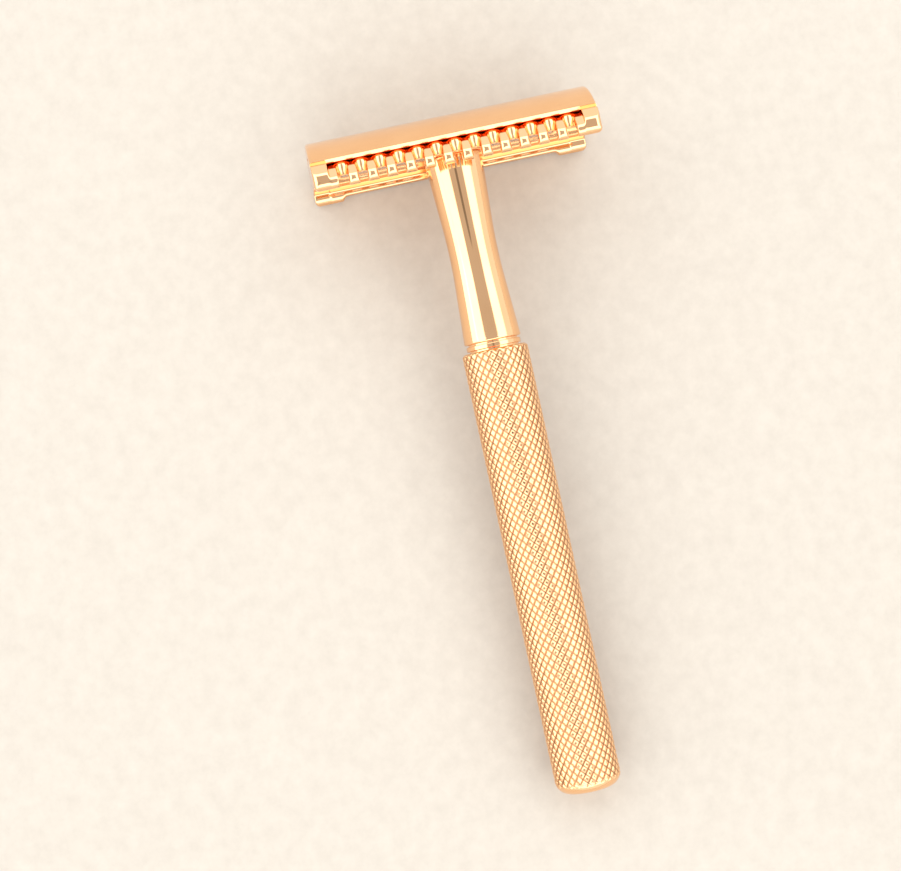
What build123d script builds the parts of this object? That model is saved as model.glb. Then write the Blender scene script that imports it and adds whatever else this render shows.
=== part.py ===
"""A double-edge safety razor in millimetres: a screwed-down cap with its stud and posts, a
base plate with an open comb on one side and a closed scalloped bar on the other, and a handle of
a polished neck, a thin ring and a knurled grip. The handle lies along +X with the head at the far
end, the head's length runs along Y, and +Z points out of the open-comb side. The origin is the
centre of the foot's flat end."""

import math
import os

from build123d import *

os.makedirs("parts", exist_ok=True)

# ---- handle -------------------------------------------------------------------------------------
grip_radius = 5.05
grip_length = 68.3
foot_round = 2.0
grip_chamfer = 0.35
socket_radius = 3.0
socket_depth = 16.0

ring_length = 1.25
ring_radius = 4.18
ring_hub_radius = 3.8
ring_rim = (0.25, 1.0)
ring_edge_round = 0.12

neck_start = grip_length + ring_length
waist_x = 83.3
waist_corner_radius = 3.61
waist_blend = 85.0
neck_foot_radius = 4.38
neck_head_radius = 4.43
neck_edge_round = 0.3

# ---- head ---------------------------------------------------------------------------------------
lip_x = 99.85
head_length = 43.2
half_length = head_length / 2

cap_half_width = 10.4
cap_crown = 4.48
cap_lip_height = 0.48
cap_lip_inset = 0.3
cap_hollow = 2.3
cap_end_round = 0.45

blade_gap = 0.16

# ---- base plate ---------------------------------------------------------------------------------
plate_half_width = 12.0
land_x = lip_x - 1.8
land_half_width = 7.6
under_radius = 4.8
tooth_pitch = 2.84
slot_count = 13
slot_floor_width = 0.94
slot_floor_root = 9.8
slot_draft = 5.8
slot_root = 9.3
ridge_half_width = 8.8
comb_root_drop = 0.02
comb_tip_drop = 1.03
front_slope = 37.0
front_round = 1.0
tooth_front = 0.1
block_front = 0.75
edge_depth = 3.95
tip_round = 1.0
tooth_width = 1.7
tip_side_round = 0.7
bar_depth = 3.28
bar_half_length = 17.05
bar_inset = 0.25
bar_corner_round = 0.6
bar_round = 0.4
block_length = 2.45
block_top_drop = 0.05
block_top_round = 0.4
block_foot_round = 1.2
block_end_round = 0.8
block_corner_round = 0.7
scallop_radius = 1.25
scallop_cut = 0.5

# ---- threads and posts --------------------------------------------------------------------------
stud_radius = 2.5
stud_root_radius = 1.8
stud_engagement = 6.0
stud_chamfer = 0.5
root_depth = 1.1
post_radius = 1.5
post_spacing = 28.0
running_gap = 0.06
insert_radius = 3.3
insert_length = 7.4
tapping_extra = 1.0

# ---- derived places -----------------------------------------------------------------------------
neck_end = land_x - 0.02
hollow_x = lip_x + cap_hollow
lip_inner = cap_half_width - cap_lip_inset
hollow_radius = (lip_inner**2 + cap_hollow**2) / (2 * cap_hollow)
hollow_centre = hollow_x - hollow_radius
seat_radius = hollow_radius - blade_gap
stud_shoulder = hollow_centre + math.sqrt(hollow_radius**2 - stud_radius**2) - 0.02
post_shoulder = hollow_centre + math.sqrt(hollow_radius**2 - post_radius**2) - 0.01
ridge_x = hollow_centre + math.sqrt(seat_radius**2 - ridge_half_width**2)

# Cross-sections of the head are drawn across its length: local x is Z, local y is X.
section = Plane(origin=(0, 0, 0), x_dir=(0, 0, 1), z_dir=(0, 1, 0))


def under_drop(reach):
    """How far the plate's hollowed underside has dropped at this distance from the land's edge."""
    return under_radius - math.sqrt(under_radius**2 - reach**2)


def edge_outline(side, front, depth, front_flat, foot_round, top_points):
    """One long edge of the base plate, from the ridge round its front to the flat underside land.

    side is +1 for the open comb and -1 for the closed bar. top_points run outwards, and the face
    below the last of them slopes out to a short upright front with a round foot."""
    middle = front - foot_round
    back = middle - foot_round
    reach = back - land_half_width
    shoulder_x = lip_x - depth + foot_round
    round_x = shoulder_x + front_flat
    slope, half_slope = math.radians(front_slope), math.radians(front_slope / 2)
    round_z = front - front_round
    slope_foot = (round_z + front_round * math.cos(slope), round_x + front_round * math.sin(slope))
    slope_top_x = top_points[-1][1]
    slope_top = (slope_foot[0] - (slope_top_x - slope_foot[1]) * math.tan(slope), slope_top_x)
    Polyline(*[(side * z, x) for z, x in top_points[:-1] + [slope_top, slope_foot]])
    ThreePointArc((side * slope_foot[0], slope_foot[1]),
                  (side * (round_z + front_round * math.cos(half_slope)),
                   round_x + front_round * math.sin(half_slope)),
                  (side * front, round_x))
    Line((side * front, round_x), (side * front, shoulder_x))
    ThreePointArc((side * front, shoulder_x), (side * middle, lip_x - depth),
                  (side * back, shoulder_x))
    hook = (side * back, land_x - under_drop(reach))
    arc_middle = (side * (land_half_width + reach / 2), land_x - under_drop(reach / 2))
    Line((side * back, shoulder_x), hook)
    ThreePointArc(hook, arc_middle, (side * land_half_width, land_x))


def seat_and_land():
    """The arched blade seat on top of the base plate and the flat land under it."""
    seat_ends = [(side * ridge_half_width, ridge_x) for side in (-1, 1)]
    ThreePointArc(seat_ends[0], (0, hollow_centre + seat_radius), seat_ends[1])
    Line((land_half_width, land_x), (-land_half_width, land_x))


comb_top = [
    (ridge_half_width, ridge_x),
    (slot_root - 0.2, lip_x - comb_root_drop),
    (plate_half_width, lip_x - comb_tip_drop),
]
block_top = [
    (ridge_half_width, ridge_x),
    (cap_half_width - 0.1, lip_x - block_top_drop),
    (plate_half_width, lip_x - block_top_drop),
]
block_start = half_length - block_length
slot_middle = slot_floor_root + slot_floor_width / 2 + plate_half_width / 2
plate_floor = lip_x - edge_depth - 1
plate_height = hollow_x - plate_floor
scallop_slope = math.degrees(math.atan2(comb_tip_drop - comb_root_drop, plate_half_width - slot_root))

# A solid block closes the base plate at each end, with its corners rounded.
with BuildPart() as end_block:
    with BuildSketch(section.offset(block_start)):
        with BuildLine():
            seat_and_land()
            for side in (1, -1):
                edge_outline(side, plate_half_width, edge_depth, block_front, block_foot_round, block_top)
        make_face()
    extrude(amount=block_length)
    top_edges = end_block.edges().filter_by(Axis.Y).filter_by_position(
        Axis.X, lip_x - block_top_drop - 0.01, lip_x - block_top_drop + 0.01).group_by(Axis.Z)
    fillet(top_edges[0] + top_edges[-1], block_top_round)
    with BuildSketch(Plane.YZ.offset(plate_floor)):
        RectangleRounded(head_length, 2 * plate_half_width, block_end_round)
    extrude(amount=plate_height, mode=Mode.INTERSECT)
    with BuildSketch(Plane.XY):
        with Locations((lip_x - edge_depth + plate_height / 2, 0)):
            RectangleRounded(plate_height, head_length, block_corner_round)
    extrude(amount=plate_half_width + 1, both=True, mode=Mode.INTERSECT)

# The base plate: the comb and bar section along its length, a solid block at each end, 13 slots
# between 12 teeth on the open side, shallow scallops over the closed bar, and the stud's and
# posts' holes.
with BuildPart() as comb_plate:
    with BuildSketch(section):
        with BuildLine():
            seat_and_land()
            for side, front in ((1, plate_half_width), (-1, plate_half_width - bar_inset)):
                edge_outline(side, front, edge_depth, tooth_front, tip_round, comb_top)
        make_face()
    extrude(amount=block_start, both=True)
    with BuildSketch(Plane.YZ.offset(plate_floor)):
        with Locations((0, slot_middle)):
            with GridLocations(tooth_pitch, 1, slot_count, 1):
                SlotCenterToCenter(plate_half_width, slot_floor_width, rotation=90)
    extrude(amount=plate_height, taper=-slot_draft, mode=Mode.SUBTRACT)
    with BuildSketch(Plane.YZ.offset(plate_floor)):
        with Locations((0, -1)):
            Rectangle(head_length, 2 * plate_half_width - 2)
        with Locations((0, plate_half_width / 2)):
            with GridLocations(tooth_pitch, 1, slot_count - 1, 1):
                RectangleRounded(tooth_width, plate_half_width, tip_side_round)
            with GridLocations(2 * block_start, 1, 2, 1):
                Rectangle(block_length, plate_half_width)
    extrude(amount=plate_height, mode=Mode.INTERSECT)
    with BuildSketch(Plane.XY.offset(-plate_half_width - 1)):
        with Locations((plate_floor, 0)):
            recess = Rectangle(2 * (lip_x - bar_depth - plate_floor), 2 * bar_half_length)
        fillet(recess.vertices(), bar_corner_round)
    extrude(amount=1 + bar_inset + 2 * tip_round + 0.1, mode=Mode.SUBTRACT)
    bar_edges = comb_plate.edges().filter_by(Axis.Y).filter_by_position(
        Axis.X, lip_x - bar_depth - 0.01, lip_x - bar_depth + 0.01)
    fillet(bar_edges, bar_round)
    scallop_top = Plane(
        origin=(lip_x - comb_tip_drop + scallop_radius - scallop_cut, 0, -plate_half_width),
        x_dir=(0, 1, 0),
        z_dir=(math.sin(math.radians(scallop_slope)), 0, math.cos(math.radians(scallop_slope))),
    )
    with BuildSketch(scallop_top.offset(-1)):
        with GridLocations(tooth_pitch, 1, slot_count, 1):
            Circle(scallop_radius)
    extrude(amount=1 + plate_half_width - slot_root, mode=Mode.SUBTRACT)
    add(end_block.part)
    mirror(end_block.part, about=Plane.XZ)
    with BuildSketch(Plane.YZ.offset(plate_floor)):
        Circle(stud_radius + running_gap)
        with GridLocations(post_spacing, 1, 2, 1):
            Circle(post_radius + running_gap)
    extrude(amount=plate_height, mode=Mode.SUBTRACT)

# The cap: an arched shell with a narrow upright lip, hollowed to bend the blade.
with BuildPart() as cap:
    with BuildSketch(section):
        with BuildLine():
            ThreePointArc((-cap_half_width, lip_x + cap_lip_height), (0, lip_x + cap_crown),
                          (cap_half_width, lip_x + cap_lip_height))
            Line((cap_half_width, lip_x + cap_lip_height), (lip_inner, lip_x))
            ThreePointArc((lip_inner, lip_x), (0, hollow_x), (-lip_inner, lip_x))
            Line((-lip_inner, lip_x), (-cap_half_width, lip_x + cap_lip_height))
        make_face()
    extrude(amount=half_length, both=True)
    crown_edges = cap.faces().filter_by(Axis.Y).edges().filter_by(GeomType.CIRCLE)
    fillet(crown_edges.sort_by(SortBy.RADIUS)[:2], cap_end_round)
    with BuildSketch(Plane.YZ.offset(hollow_x + root_depth)):
        Circle(stud_root_radius)
        with GridLocations(post_spacing, 1, 2, 1):
            Circle(post_radius)
    extrude(amount=-root_depth - 1, mode=Mode.SUBTRACT)

# The stud: a plain root held in the cap and the M5 shank that the handle screws onto.
with BuildPart() as cap_stud:
    with BuildSketch(Plane.YZ.offset(land_x - stud_engagement)):
        Circle(stud_radius)
    extrude(amount=stud_shoulder - land_x + stud_engagement)
    chamfer(cap_stud.faces().sort_by(Axis.X)[0].edges(), stud_chamfer)
    with BuildSketch(Plane.YZ.offset(stud_shoulder)):
        Circle(stud_root_radius)
    extrude(amount=hollow_x + root_depth - stud_shoulder)

# Two posts for a blade's holes keep it square to the cap.
blade_posts = []
for name, y in (("blade_post_left", post_spacing / 2), ("blade_post_right", -post_spacing / 2)):
    with BuildPart() as blade_post:
        with BuildSketch(Plane.YZ.offset(land_x + 0.1)):
            with Locations((y, 0)):
                Circle(post_radius)
        extrude(amount=hollow_x + root_depth - land_x - 0.1)
        chamfer(blade_post.faces().sort_by(Axis.X)[0].edges(), 0.3)
    blade_post.part.label = name
    blade_posts.append(blade_post.part)

# The grip: one turned bar with a rounded foot and a socket for the neck's spigot.
with BuildPart() as grip:
    with BuildSketch(Plane.XZ):
        with BuildLine():
            bend = foot_round * (1 - math.sqrt(0.5))
            Line((0, 0), (0, grip_radius - foot_round))
            ThreePointArc((0, grip_radius - foot_round), (bend, grip_radius - bend),
                          (foot_round, grip_radius))
            Polyline(
                (foot_round, grip_radius),
                (grip_length - grip_chamfer, grip_radius),
                (grip_length, grip_radius - grip_chamfer),
                (grip_length, socket_radius),
                (grip_length - socket_depth, socket_radius),
                (grip_length - socket_depth, 0),
                (0, 0),
            )
        make_face()
    revolve(axis=Axis.X)

# The ring: a thin rim on a narrower hub, so that a fine groove shows on each side of it.
with BuildPart() as collar_ring:
    with BuildSketch(Plane.YZ.offset(grip_length)):
        Circle(ring_hub_radius)
    extrude(amount=ring_length)
    with BuildSketch(Plane.YZ.offset(grip_length + ring_rim[0])):
        Circle(ring_radius)
    extrude(amount=ring_rim[1] - ring_rim[0])
    rim_edges = collar_ring.edges().filter_by(GeomType.CIRCLE).sort_by(SortBy.RADIUS)
    fillet(rim_edges[-2:], ring_edge_round)
    with BuildSketch(Plane.YZ.offset(grip_length)):
        Circle(socket_radius)
    extrude(amount=ring_length, mode=Mode.SUBTRACT)

# The neck: two slow tapers blended at the waist, a spigot for the grip and a bored head.
with BuildPart() as neck:
    with BuildSketch(Plane.XZ):
        with BuildLine():
            FilletPolyline((neck_start, neck_foot_radius), (waist_x, waist_corner_radius),
                           (neck_end, neck_head_radius), radius=waist_blend)
            Polyline(
                (neck_end, neck_head_radius),
                (neck_end, insert_radius),
                (neck_end - insert_length, insert_radius),
                (neck_end - insert_length, stud_radius),
                (neck_end - insert_length - tapping_extra, stud_radius),
                (neck_end - insert_length - tapping_extra, 0),
                (grip_length - socket_depth, 0),
                (grip_length - socket_depth, socket_radius),
                (neck_start, socket_radius),
                (neck_start, neck_foot_radius),
            )
        make_face()
    revolve(axis=Axis.X)
    neck_edges = neck.edges().filter_by(GeomType.CIRCLE).filter_by_position(
        Axis.X, neck_start - 0.01, neck_start + 0.01)
    fillet(neck_edges.sort_by(SortBy.RADIUS)[-1], neck_edge_round)

# The tapped insert in the neck, which takes the stud.
with BuildPart() as neck_insert:
    with BuildSketch(Plane.YZ.offset(neck_end - insert_length)):
        Circle(insert_radius)
        Circle(stud_radius + running_gap, mode=Mode.SUBTRACT)
    extrude(amount=insert_length - 0.05)

comb_plate.part.label = "comb_plate"
cap.part.label = "cap"
cap_stud.part.label = "cap_stud"
grip.part.label = "grip"
collar_ring.part.label = "collar_ring"
neck.part.label = "neck"
neck_insert.part.label = "neck_insert"
pieces = [comb_plate.part, cap.part, cap_stud.part, *blade_posts, grip.part, collar_ring.part,
          neck.part, neck_insert.part]
for piece in pieces:
    export_step(piece, f"parts/{piece.label}.step")
    print(piece.label, len(piece.solids()), round(piece.volume, 2))
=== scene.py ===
"""Looks of a rose-gold double-edge safety razor: a real diamond knurl, threads, plated metal,
a pale floor that the razor rests on, soft studio light and the camera."""

import math

import bmesh
import bpy
import numpy as np
from mathutils import Matrix, Vector


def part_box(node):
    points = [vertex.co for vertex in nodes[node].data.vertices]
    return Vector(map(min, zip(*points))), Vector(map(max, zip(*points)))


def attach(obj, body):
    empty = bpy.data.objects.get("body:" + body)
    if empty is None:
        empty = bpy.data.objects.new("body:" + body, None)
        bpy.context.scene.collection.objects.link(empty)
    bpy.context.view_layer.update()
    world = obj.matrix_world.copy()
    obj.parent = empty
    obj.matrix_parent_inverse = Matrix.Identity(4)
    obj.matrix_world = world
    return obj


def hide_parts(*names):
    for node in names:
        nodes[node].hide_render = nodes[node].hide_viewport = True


MM = 0.001
TINY = 1e-6

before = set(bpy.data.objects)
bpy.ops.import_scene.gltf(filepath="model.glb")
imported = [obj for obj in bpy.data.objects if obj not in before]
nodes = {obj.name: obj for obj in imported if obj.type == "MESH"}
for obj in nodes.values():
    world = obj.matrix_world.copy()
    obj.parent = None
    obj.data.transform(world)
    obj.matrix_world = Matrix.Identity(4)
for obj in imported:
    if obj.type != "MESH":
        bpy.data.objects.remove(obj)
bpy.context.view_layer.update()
scene = bpy.context.scene
scene.view_settings.view_transform = "Standard"
scene.view_settings.look = "None"
# Deep gaps between polished faces need many mirror bounces to show their colour.
MIRROR_BOUNCES = 24
scene.cycles.max_bounces = MIRROR_BOUNCES
scene.cycles.glossy_bounces = MIRROR_BOUNCES


# ---- mesh helpers -------------------------------------------------------------------------------
def new_mesh(name, verts, faces):
    """A smooth-shaded mesh object from vertices in metres and faces."""
    mesh = bpy.data.meshes.new(name)
    mesh.from_pydata([tuple(v) for v in verts], [], [tuple(int(i) for i in f) for f in faces])
    mesh.validate()
    mesh.update()
    mesh.polygons.foreach_set("use_smooth", [True] * len(mesh.polygons))
    obj = bpy.data.objects.new(name, mesh)
    scene.collection.objects.link(obj)
    return obj


def turned(name, profile, segments=192):
    """A closed solid of revolution about the X axis. profile runs as (x, radius) in millimetres."""
    angles = np.linspace(0, 2 * np.pi, segments, endpoint=False)
    ring = np.stack([np.cos(angles), np.sin(angles)], 1)
    verts, faces, starts = [], [], []
    for x, radius in profile:
        starts.append(len(verts))
        if radius < TINY:
            verts.append((x * MM, 0, 0))
        else:
            verts.extend((x * MM, radius * MM * c, radius * MM * s) for c, s in ring)
    for k in range(len(profile) - 1):
        a, b = starts[k], starts[k + 1]
        flat_a, flat_b = profile[k][1] < TINY, profile[k + 1][1] < TINY
        for i in range(segments):
            j = (i + 1) % segments
            if flat_a and not flat_b:
                faces.append((a, b + j, b + i))
            elif flat_b and not flat_a:
                faces.append((a + i, a + j, b))
            elif not flat_a:
                faces.append((a + i, a + j, b + j, b + i))
    return new_mesh(name, verts, faces)


def stands_for(obj, node, body):
    """The piece rides on the body and stands in for the CAD node, which is hidden."""
    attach(obj, body)
    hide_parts(node)
    return obj


# ---- the knurled grip ---------------------------------------------------------------------------
GRIP_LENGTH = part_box("grip")[1].x / MM
GRIP_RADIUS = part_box("grip")[1].z / MM
FOOT_ROUND = 2.0
FOOT_FACE_RADIUS = 1.5
FOOT_FIRST_CUT = 0.1
FOOT_RINGS = 20
GRIP_CHAMFER = 0.35
TOP_FIRST_CUT = 0.05
CHAMFER_RINGS = 4
SOCKET_RADIUS = 3.0
SOCKET_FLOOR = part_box("neck")[0].x / MM
KNURL_PITCH_A = 1.552
KNURL_PITCH_B = 1.264
KNURL_STARTS_A = 26
KNURL_STARTS_B = 24
KNURL_DEPTH_A = 0.17
KNURL_DEPTH_B = 0.135
KNURL_REACH = 1.5
SEAM_SLACK = 1e-9
END_BAND = 1e-4
END_SKIN = 0.01
# Across one tooth of the knurl: where the points lie, and how far up the flank each one is.
KNURL_STEPS = (0.0, 0.06, 0.34, 0.70, 0.94)
KNURL_RISE = (0.0, 0.05, 1.0, 1.0, 0.05)


def grip_outline(x):
    """The largest radius at x: the straight grip, its rounded foot and its top chamfer."""
    radius = GRIP_RADIUS
    if x < FOOT_ROUND:
        radius += math.sqrt(max(0.0, FOOT_ROUND**2 - (FOOT_ROUND - x) ** 2)) - FOOT_ROUND
    if x > GRIP_LENGTH - GRIP_CHAMFER:
        radius -= x - (GRIP_LENGTH - GRIP_CHAMFER)
    return radius


def knurl_cells():
    """Corner points of the knurl's cells, wrapped round the grip: (x, angle, depth) and faces."""
    steps = len(KNURL_STEPS)
    lead_a = KNURL_STARTS_A * KNURL_PITCH_A
    lead_b = KNURL_STARTS_B * KNURL_PITCH_B

    def place(a, b):
        turn = (b * KNURL_PITCH_B - a * KNURL_PITCH_A) / (lead_a + lead_b)
        x = (lead_b * a * KNURL_PITCH_A + lead_a * b * KNURL_PITCH_B) / (lead_a + lead_b)
        return x, turn

    verts, faces, index = [], [], {}

    def vertex(i, j):
        """The point at sample i of family A and j of family B, shared where the turn closes."""
        a = i // steps + KNURL_STEPS[i % steps]
        b = j // steps + KNURL_STEPS[j % steps]
        turn = place(a, b)[1]
        wraps = math.floor(turn + SEAM_SLACK)
        i += wraps * KNURL_STARTS_A * steps
        j -= wraps * KNURL_STARTS_B * steps
        if (i, j) not in index:
            a = i // steps + KNURL_STEPS[i % steps]
            b = j // steps + KNURL_STEPS[j % steps]
            x, turn = place(a, b)
            cut_a = KNURL_DEPTH_A * (1 - KNURL_RISE[i % steps])
            cut_b = KNURL_DEPTH_B * (1 - KNURL_RISE[j % steps])
            index[i, j] = len(verts)
            verts.append((x, 2 * math.pi * turn, max(cut_a, cut_b)))
        return index[i, j]

    # The cells run past both ends of the grip, and are cut off there afterwards.
    a_low = math.floor((-KNURL_REACH - lead_a) / KNURL_PITCH_A)
    a_high = math.ceil((GRIP_LENGTH + KNURL_REACH) / KNURL_PITCH_A)
    for cell_a in range(a_low, a_high + 1):
        b_from = math.floor((cell_a * KNURL_PITCH_A) / KNURL_PITCH_B) - 2
        b_to = math.ceil((cell_a * KNURL_PITCH_A + lead_a + lead_b) / KNURL_PITCH_B) + 2
        for cell_b in range(b_from, b_to + 1):
            x, turn = place(cell_a + 0.5, cell_b + 0.5)
            if not (0 <= turn < 1 and -KNURL_REACH < x < GRIP_LENGTH + KNURL_REACH):
                continue
            for p in range(steps):
                for q in range(steps):
                    i, j = cell_a * steps + p, cell_b * steps + q
                    c00, c10 = vertex(i, j), vertex(i + 1, j)
                    c11, c01 = vertex(i + 1, j + 1), vertex(i, j + 1)
                    flank = p in (1, 3) and q in (1, 3)
                    if flank and p == q:
                        faces += [(c00, c10, c11), (c00, c11, c01)]
                    elif flank:
                        faces += [(c00, c10, c01), (c10, c11, c01)]
                    else:
                        faces.append((c00, c10, c11, c01))
    return verts, faces


def knurled_grip():
    """The grip's outside as one closed mesh: knurl, rounded foot, top chamfer and socket."""
    points, faces = knurl_cells()
    bm = bmesh.new()
    made = []
    for x, turn, cut in points:
        radius = GRIP_RADIUS - cut
        made.append(bm.verts.new((x, radius * math.cos(turn), radius * math.sin(turn))))
    for face in faces:
        bm.faces.new([made[i] for i in face])
    cuts = [0.0, GRIP_LENGTH] + list(np.linspace(FOOT_FIRST_CUT, FOOT_ROUND, FOOT_RINGS))
    cuts += list(GRIP_LENGTH - np.linspace(TOP_FIRST_CUT, GRIP_CHAMFER, CHAMFER_RINGS))
    for x in cuts:
        geometry = bm.verts[:] + bm.edges[:] + bm.faces[:]
        bmesh.ops.bisect_plane(bm, geom=geometry, dist=TINY, plane_co=(x, 0, 0),
                               plane_no=(1, 0, 0), clear_inner=x == 0,
                               clear_outer=x == GRIP_LENGTH)
    for v in bm.verts:
        radius = math.hypot(v.co.y, v.co.z)
        limit = grip_outline(v.co.x)
        if radius > limit:
            v.co.y *= limit / radius
            v.co.z *= limit / radius
    bmesh.ops.recalc_face_normals(bm, faces=bm.faces[:])
    for x, rings in (
        (0.0, [(0.0, FOOT_FACE_RADIUS)]),
        (GRIP_LENGTH, [(GRIP_LENGTH, SOCKET_RADIUS), (SOCKET_FLOOR, SOCKET_RADIUS)]),
    ):
        edges = [e for e in bm.edges
                 if e.is_boundary and all(abs(v.co.x - x) < END_BAND for v in e.verts)]
        for ring_x, ring_radius in rings:
            out = bmesh.ops.extrude_edge_only(bm, edges=edges)["geom"]
            for v in (g for g in out if isinstance(g, bmesh.types.BMVert)):
                scale = ring_radius / math.hypot(v.co.y, v.co.z)
                v.co = Vector((ring_x, v.co.y * scale, v.co.z * scale))
            edges = [g for g in out if isinstance(g, bmesh.types.BMEdge) and g.is_boundary]
        bmesh.ops.contextual_create(bm, geom=edges)
    bmesh.ops.recalc_face_normals(bm, faces=bm.faces[:])
    bmesh.ops.scale(bm, vec=(MM, MM, MM), verts=bm.verts[:])
    mesh = bpy.data.meshes.new("knurled_grip")
    bm.to_mesh(mesh)
    bm.free()
    # How deep each point lies in the knurl, 0 on the crests to 1 in the grooves; the grip's
    # material reads it for roughness and for painted shade in the grooves.
    groove = mesh.attributes.new("groove", "FLOAT", "POINT")
    for v in mesh.vertices:
        x, radius = v.co.x / MM, math.hypot(v.co.y, v.co.z) / MM
        end_face = x < END_SKIN or x > GRIP_LENGTH - END_SKIN
        inside = end_face or radius < GRIP_RADIUS - 2 * KNURL_DEPTH_A
        depth = 0.0 if inside else (grip_outline(x) - radius) / KNURL_DEPTH_A
        groove.data[v.index].value = min(1.0, max(0.0, depth))
    obj = bpy.data.objects.new("knurled_grip", mesh)
    scene.collection.objects.link(obj)
    return obj


grip = stands_for(knurled_grip(), "grip", "handle")


# ---- the cast base plate ------------------------------------------------------------------------
CAST_VOXEL = 0.11
CAST_ROUNDS = 9
WELD_DISTANCE = 1e-4


def softened(node, name):
    """A copy of a CAD node with every edge softened, as on a cast and polished part."""
    bm = bmesh.new()
    bm.from_mesh(nodes[node].data)
    bmesh.ops.scale(bm, vec=(1 / MM,) * 3, verts=bm.verts[:])
    bmesh.ops.remove_doubles(bm, verts=bm.verts[:], dist=WELD_DISTANCE)
    mesh = bpy.data.meshes.new(name)
    bm.to_mesh(mesh)
    bm.free()
    obj = bpy.data.objects.new(name, mesh)
    scene.collection.objects.link(obj)
    remesh = obj.modifiers.new("remesh", "REMESH")
    remesh.mode = "VOXEL"
    remesh.voxel_size = CAST_VOXEL
    remesh.use_smooth_shade = True
    smooth = obj.modifiers.new("smooth", "SMOOTH")
    smooth.factor = 0.5
    smooth.iterations = CAST_ROUNDS
    bpy.context.view_layer.update()
    evaluated = obj.evaluated_get(bpy.context.evaluated_depsgraph_get())
    obj.data = bpy.data.meshes.new_from_object(evaluated)
    obj.modifiers.clear()
    obj.data.transform(Matrix.Scale(MM, 4))
    obj.data.update()
    return obj


plate = stands_for(softened("comb_plate", "cast_base_plate"), "comb_plate", "base_plate")


# ---- the stud's thread --------------------------------------------------------------------------
STUD_RADIUS = 2.5
STUD_ROOT = 1.8
THREAD_PITCH = 0.8
THREAD_DEPTH = 0.44
STUD_LOW, STUD_HIGH = (corner.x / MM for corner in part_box("cap_stud"))
STUD_ROOT_LENGTH = 1.15
STUD_SHOULDER = STUD_HIGH - STUD_ROOT_LENGTH
STUD_CHAMFER = 0.5
THREAD_LENGTH = 8.4
STUD_SEGMENTS = 96
THREAD_ROWS = 16
FLANK_STEEPNESS = 2.3
ROOT_FLAT = 0.08


def threaded_stud():
    """The stud as one mesh: an M5 thread from its tip, a plain shank and its plain root."""
    verts, faces = [], []
    rows = int(THREAD_LENGTH / THREAD_PITCH * THREAD_ROWS)
    stations = [STUD_LOW + k * THREAD_PITCH / THREAD_ROWS for k in range(rows + 1)]
    stations += [STUD_SHOULDER - 0.02, STUD_SHOULDER, STUD_SHOULDER, STUD_HIGH]
    for k, x in enumerate(stations):
        for s in range(STUD_SEGMENTS):
            turn = s / STUD_SEGMENTS
            radius = STUD_RADIUS
            if k <= rows:
                phase = ((x - STUD_LOW) / THREAD_PITCH - turn) % 1.0
                crest = min(1.0, max(0.0, FLANK_STEEPNESS * abs(phase - 0.5) - ROOT_FLAT))
                runout = min(1.0, (STUD_LOW + THREAD_LENGTH - x) / THREAD_PITCH)
                radius -= THREAD_DEPTH * (1 - crest) * max(0.0, runout)
                radius = min(radius, STUD_RADIUS - STUD_CHAMFER + (x - STUD_LOW))
            elif k >= rows + 3:
                radius = STUD_ROOT
            verts.append((x * MM, radius * MM * math.cos(2 * math.pi * turn),
                          radius * MM * math.sin(2 * math.pi * turn)))
    for k in range(len(stations) - 1):
        low, high = k * STUD_SEGMENTS, (k + 1) * STUD_SEGMENTS
        for s in range(STUD_SEGMENTS):
            t = (s + 1) % STUD_SEGMENTS
            faces.append((low + s, low + t, high + t, high + s))
    faces.append(tuple(range(STUD_SEGMENTS))[::-1])
    faces.append(tuple(range(len(verts) - STUD_SEGMENTS, len(verts))))
    return new_mesh("threaded_stud", verts, faces)


stud = stands_for(threaded_stud(), "cap_stud", "cap_body")


# ---- the polished neck --------------------------------------------------------------------------
NECK_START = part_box("collar_ring")[1].x / MM
NECK_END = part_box("neck")[1].x / MM
NECK_WAIST = 83.3
NECK_FOOT_RADIUS = 4.38
NECK_CORNER_RADIUS = 3.61
NECK_HEAD_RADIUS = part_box("neck")[1].z / MM
NECK_BLEND = 85.0
NECK_EDGE = 0.3
EDGE_STEPS = 7
NECK_STEPS = 60
WAIST_FROM = 0.45
HEAD_CHAMFER = 0.12
SPIGOT_CHAMFER = 0.3
INSERT_RADIUS = 3.3
INSERT_LENGTH = 7.4
TAPPING = 1.0


def neck_radius(x):
    """Two straight tapers that a circle of radius NECK_BLEND joins at the waist."""
    slope_a = (NECK_CORNER_RADIUS - NECK_FOOT_RADIUS) / (NECK_WAIST - NECK_START)
    slope_b = (NECK_HEAD_RADIUS - NECK_CORNER_RADIUS) / (NECK_END - NECK_WAIST)
    half = (math.atan(slope_b) - math.atan(slope_a)) / 2
    middle = (math.atan(slope_b) + math.atan(slope_a)) / 2
    rise = NECK_BLEND / math.cos(half)
    centre_x = NECK_WAIST - rise * math.sin(middle)
    centre_r = NECK_CORNER_RADIUS + rise * math.cos(middle)
    low = centre_x + NECK_BLEND * math.sin(math.atan(slope_a))
    high = centre_x + NECK_BLEND * math.sin(math.atan(slope_b))
    if x < low:
        return NECK_CORNER_RADIUS + slope_a * (x - NECK_WAIST)
    if x > high:
        return NECK_CORNER_RADIUS + slope_b * (x - NECK_WAIST)
    return centre_r - math.sqrt(NECK_BLEND**2 - (x - centre_x) ** 2)


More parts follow.
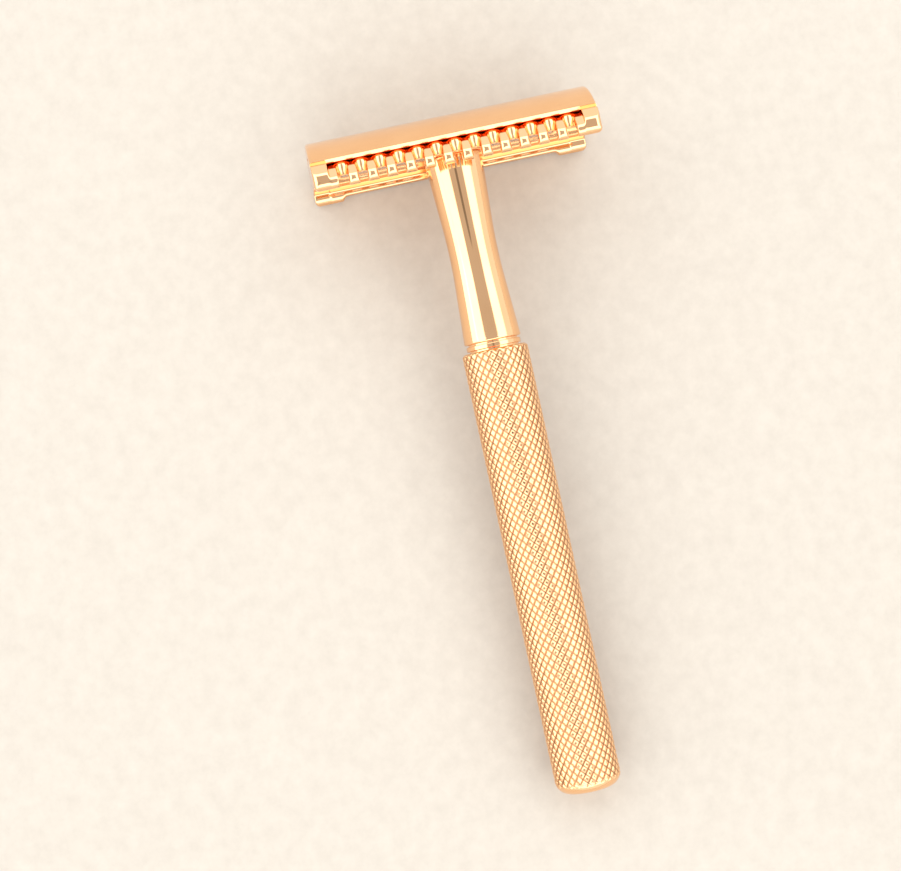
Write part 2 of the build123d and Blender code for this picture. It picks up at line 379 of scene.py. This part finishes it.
def polished_neck():
    """The neck as one turned solid: its spigot, rounded foot edge, waist and the insert's bore."""
    bore_floor = NECK_END - INSERT_LENGTH - TAPPING
    profile = [(SOCKET_FLOOR, 0.0), (SOCKET_FLOOR, SOCKET_RADIUS - SPIGOT_CHAMFER),
               (SOCKET_FLOOR + SPIGOT_CHAMFER, SOCKET_RADIUS), (NECK_START, SOCKET_RADIUS)]
    for k in reversed(range(EDGE_STEPS)):
        angle = math.pi / 2 * k / (EDGE_STEPS - 1)
        profile.append((NECK_START + NECK_EDGE * (1 - math.sin(angle)),
                        NECK_FOOT_RADIUS - NECK_EDGE * (1 - math.cos(angle))))
    stations = np.linspace(NECK_START + WAIST_FROM, NECK_END - HEAD_CHAMFER, NECK_STEPS)
    profile += [(x, neck_radius(x)) for x in stations]
    profile += [(NECK_END - HEAD_CHAMFER / 2, NECK_HEAD_RADIUS - 0.02),
                (NECK_END, NECK_HEAD_RADIUS - HEAD_CHAMFER),
                (NECK_END, INSERT_RADIUS), (NECK_END - INSERT_LENGTH, INSERT_RADIUS),
                (NECK_END - INSERT_LENGTH, STUD_RADIUS), (bore_floor, STUD_RADIUS),
                (bore_floor, 0.0)]
    return turned("polished_neck", profile)


neck = stands_for(polished_neck(), "neck", "handle")


# ---- materials ----------------------------------------------------------------------------------
class Nodes:
    """A short way to write a node tree."""

    def __init__(self, name):
        self.material = bpy.data.materials.new(name)
        self.material.use_nodes = True
        self.tree = self.material.node_tree
        self.shader = self.tree.nodes["Principled BSDF"]

    def add(self, kind, inputs=None, **settings):
        """A new node with these inputs, each a value or another node's output."""
        node = self.tree.nodes.new(kind)
        for key, value in settings.items():
            setattr(node, key, value)
        for key, value in (inputs or {}).items():
            if isinstance(value, bpy.types.NodeSocket):
                self.tree.links.new(value, node.inputs[key])
            else:
                node.inputs[key].default_value = value
        return node

    def link(self, output, socket):
        self.tree.links.new(output, self.shader.inputs[socket])

    def position(self):
        return self.add("ShaderNodeTexCoord").outputs["Object"]

    def noise(self, scale, detail=3.0, stretch=(1, 1, 1), rough=0.5):
        """Noise over the object's own coordinates, with scale in features per metre."""
        place = self.add("ShaderNodeMapping", {"Vector": self.position(), "Scale": stretch})
        made = self.add("ShaderNodeTexNoise", {
            "Vector": place.outputs["Vector"], "Scale": scale, "Detail": detail,
            "Roughness": rough})
        return made.outputs["Fac"]

    def ramp(self, value, low, high, to_low, to_high):
        made = self.add("ShaderNodeMapRange", {
            "Value": value, "From Min": low, "From Max": high, "To Min": to_low,
            "To Max": to_high})
        return made.outputs["Result"]

    def mix(self, value, first, second):
        made = self.add("ShaderNodeMix", data_type="RGBA")
        for socket, content in ((made.inputs[0], value), (made.inputs[6], first),
                                (made.inputs[7], second)):
            if isinstance(content, bpy.types.NodeSocket):
                self.tree.links.new(content, socket)
            else:
                socket.default_value = content
        return made.outputs[2]

    def bump(self, height, strength, distance):
        made = self.add("ShaderNodeBump", {"Height": height, "Strength": strength,
                                           "Distance": distance})
        self.link(made.outputs["Normal"], "Normal")


SCRATCH_DEPTH = 0.00002


def plated(name, colour, deep, roughness, smear, grain, scratches=0.05):
    """Polished rose-gold plating: a slightly uneven colour, smears in its gloss, fine scratches."""
    made = Nodes(name)
    made.shader.inputs["Metallic"].default_value = 1.0
    cloud = made.ramp(made.noise(180.0, 4.0), 0.35, 0.65, 0.0, 1.0)
    made.link(made.mix(cloud, (*colour, 1), (*deep, 1)), "Base Color")
    wipe = made.ramp(made.noise(260.0, 5.0, (1, 0.35, 0.35), 0.6), 0.35, 0.75, roughness,
                     roughness + smear)
    made.link(wipe, "Roughness")
    lines = made.noise(900.0, 2.0, grain, 0.7)
    made.bump(lines, scratches, SCRATCH_DEPTH)
    return made.material


def knurled(name, colour, deep, groove_shade_colour):
    """The plating on the knurl: duller in the grooves, with painted shade that darkens their colour
    towards brown; the crests keep the plain plating colour.
    """
    made = Nodes(name)
    made.shader.inputs["Metallic"].default_value = 1.0
    cloud = made.ramp(made.noise(220.0, 4.0), 0.35, 0.65, 0.0, 1.0)
    crest = made.mix(cloud, (*colour, 1), (*deep, 1))
    groove = made.add("ShaderNodeAttribute", attribute_name="groove").outputs["Fac"]
    # Painted shade: the colour turns towards brown with depth in the knurl's grooves.
    painted_groove_shade = made.ramp(groove, 0.35, 0.95, 0.0, 0.9)
    made.link(made.mix(painted_groove_shade, crest, (*groove_shade_colour, 1)), "Base Color")
    made.link(made.ramp(groove, 0.0, 1.0, 0.08, 0.26), "Roughness")
    made.bump(made.noise(1400.0, 2.0, (1, 1, 1), 0.7), 0.12, SCRATCH_DEPTH)
    return made.material


# The colours are linear RGB.
ROSE = (0.96, 0.59, 0.32)
ROSE_DEEP = (0.935, 0.56, 0.295)
# The brown that the knurl's grooves are painted towards, as painted shade.
GROOVE_SHADE_BROWN = (0.30, 0.12, 0.05)
THREAD_BRASS = ((0.86, 0.66, 0.36), (0.78, 0.56, 0.28))
TURNED_BRASS = ((0.84, 0.64, 0.34), (0.76, 0.55, 0.27))
head_plate = plated("polished_head_plate", ROSE, ROSE_DEEP, 0.045, 0.05, (1, 0.15, 1))
cap_plate = plated("polished_cap_plate", ROSE, ROSE_DEEP, 0.10, 0.08, (1, 0.1, 1))
neck_plate = plated("polished_neck_plate", ROSE, ROSE_DEEP, 0.05, 0.05, (1, 0.2, 0.2))
grip_plate = knurled("knurled_plate", ROSE, ROSE_DEEP, GROOVE_SHADE_BROWN)
stud_brass = plated("threaded_brass", *THREAD_BRASS, 0.16, 0.1, (1, 1, 1))
insert_brass = plated("turned_brass", *TURNED_BRASS, 0.2, 0.1, (1, 1, 1))


def paint(obj, material):
    """The object's only material."""
    obj.data.materials.clear()
    obj.data.materials.append(material)


for obj, material in (
    (plate, head_plate),
    (nodes["cap"], cap_plate),
    (nodes["blade_post_left"], stud_brass),
    (nodes["blade_post_right"], stud_brass),
    (nodes["collar_ring"], neck_plate),
    (nodes["neck_insert"], insert_brass),
    (grip, grip_plate),
    (stud, stud_brass),
    (neck, neck_plate),
):
    paint(obj, material)


# ---- the pale floor -----------------------------------------------------------------------------
# The razor lies on the head's closed-bar side and on the grip's foot, so the floor tilts to both.
HEAD_EDGE = Vector((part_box("comb_plate")[0].x, 0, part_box("comb_plate")[0].z))
FOOT_EDGE = Vector((FOOT_ROUND * MM, 0, -GRIP_RADIUS * MM))
FLOOR_HALF = 3.0
FLOOR_GAP = 0.00001
CARD_DARK = (0.47, 0.435, 0.385, 1)
CARD_LIGHT = (0.52, 0.485, 0.43, 1)


def pale_floor():
    """A wide plain card under the razor."""
    along = (HEAD_EDGE - FOOT_EDGE).normalized()
    up = along.cross(Vector((0, 1, 0)))
    floor = new_mesh("pale_floor", [
        FOOT_EDGE + along * (a * FLOOR_HALF) + Vector((0, b * FLOOR_HALF, 0)) - up * FLOOR_GAP
        for a, b in ((-1, -1), (1, -1), (1, 1), (-1, 1))], [(0, 1, 2, 3)])
    made = Nodes("pale_card")
    fleck = made.ramp(made.noise(420.0, 6.0, rough=0.65), 0.3, 0.7, 0.0, 1.0)
    made.link(made.mix(fleck, CARD_DARK, CARD_LIGHT), "Base Color")
    made.shader.inputs["Roughness"].default_value = 0.8
    made.shader.inputs["Specular IOR Level"].default_value = 0.2
    paint(floor, made.material)


pale_floor()


# ---- light --------------------------------------------------------------------------------------
# A bright room with a dimmer patch overhead, a bright ring round that patch, and a bright side.
# Each pair of angles is where an edge starts and ends, in degrees from its axis.
ROOM_AXIS = Vector((0.0, 0.078, 0.997)).normalized()
ROOM_SIDE = Vector((0.25, 0.96, 0.05)).normalized()
SHADE_CORE = Vector((-0.035, 0.078, 0.996)).normalized()
RING_INNER = (25, 31)
RING_OUTER = (60, 67)
SIDE_EDGE = (20, 27)
CORE_EDGE = (3, 6)
BASE_LEVEL = 0.68
OUTSIDE_LEVEL = 0.56
RING_LEVEL = 1.5
SIDE_LEVEL = 1.5
CORE_LEVEL = 0.4
BACKDROP_LEVEL = 0.9
ROOM_COLOUR = (1.0, 0.98, 0.965, 1)


def room_light():
    """Soft light whose level depends only on its direction in the room."""
    world = bpy.data.worlds.new("soft_room")
    scene.world = world
    world.use_nodes = True
    tree = world.node_tree
    background = tree.nodes["Background"]

    def add(kind, inputs=None, **settings):
        node = tree.nodes.new(kind)
        for key, value in settings.items():
            setattr(node, key, value)
        for key, value in (inputs or {}).items():
            if isinstance(value, bpy.types.NodeSocket):
                tree.links.new(value, node.inputs[key])
            else:
                node.inputs[key].default_value = value
        return node

    direction = add("ShaderNodeTexCoord").outputs["Generated"]

    def angle_from(axis):
        """The angle in degrees between the direction looked in and an axis."""
        dot = add("ShaderNodeVectorMath", {0: direction, 1: axis}, operation="DOT_PRODUCT")
        arc = add("ShaderNodeMath", {0: dot.outputs["Value"]}, operation="ARCCOSINE")
        return add("ShaderNodeMath", {0: arc.outputs[0], 1: 180 / math.pi},
                   operation="MULTIPLY").outputs[0]

    def step(value, low, high, to_low, to_high):
        return add("ShaderNodeMapRange", {
            "Value": value, "From Min": low, "From Max": high, "To Min": to_low,
            "To Max": to_high}, interpolation_type="SMOOTHSTEP").outputs["Result"]

    def combine(first, second, operation):
        return add("ShaderNodeMath", {0: first, 1: second}, operation=operation).outputs[0]

    around = angle_from(ROOM_AXIS)
    outside = step(around, *RING_INNER, 0, 1)
    ring = combine(outside, step(around, *RING_OUTER, 1, 0), "MULTIPLY")
    side = step(angle_from(ROOM_SIDE), *SIDE_EDGE, 1, 0)
    core = step(angle_from(SHADE_CORE), *CORE_EDGE, 1, 0)
    level = combine(combine(outside, OUTSIDE_LEVEL, "MULTIPLY"), BASE_LEVEL, "ADD")
    level = combine(level, combine(ring, RING_LEVEL, "MULTIPLY"), "ADD")
    level = combine(level, combine(side, SIDE_LEVEL, "MULTIPLY"), "ADD")
    level = combine(level, combine(core, CORE_LEVEL, "MULTIPLY"), "SUBTRACT")
    # The camera sees an even backdrop past the floor's edge instead of the lights themselves.
    seen = add("ShaderNodeLightPath").outputs["Is Camera Ray"]
    shown = add("ShaderNodeMix", {0: seen, 2: level, 3: BACKDROP_LEVEL},
                data_type="FLOAT").outputs[0]
    background.inputs["Color"].default_value = ROOM_COLOUR
    tree.links.new(shown, background.inputs["Strength"])


room_light()


# ---- camera -------------------------------------------------------------------------------------
CAMERA_PLACE = Vector((0.0611, 0.0268, 0.3419))
CAMERA_TURN = Vector((0.0067, 0.0522, 0.2149))
CAMERA_LENS = 90.4
SENSOR_WIDTH = 36.0
# Looking straight down, with the head at the top of the picture.
OVERHEAD_VIEW = ((0, -1, 0), (1, 0, 0), (0, 0, 1))


def make_camera():
    """Almost overhead, turned a little, as the object was seen."""
    data = bpy.data.cameras.new("camera")
    data.lens = CAMERA_LENS
    data.sensor_width = SENSOR_WIDTH
    data.clip_start = 0.01
    data.clip_end = 20.0
    camera = bpy.data.objects.new("camera", data)
    scene.collection.objects.link(camera)
    turn = Matrix.Rotation(CAMERA_TURN.length, 3, CAMERA_TURN.normalized())
    rows = turn @ Matrix(OVERHEAD_VIEW)
    camera.matrix_world = Matrix.Translation(CAMERA_PLACE) @ rows.transposed().to_4x4()
    scene.camera = camera


make_camera()
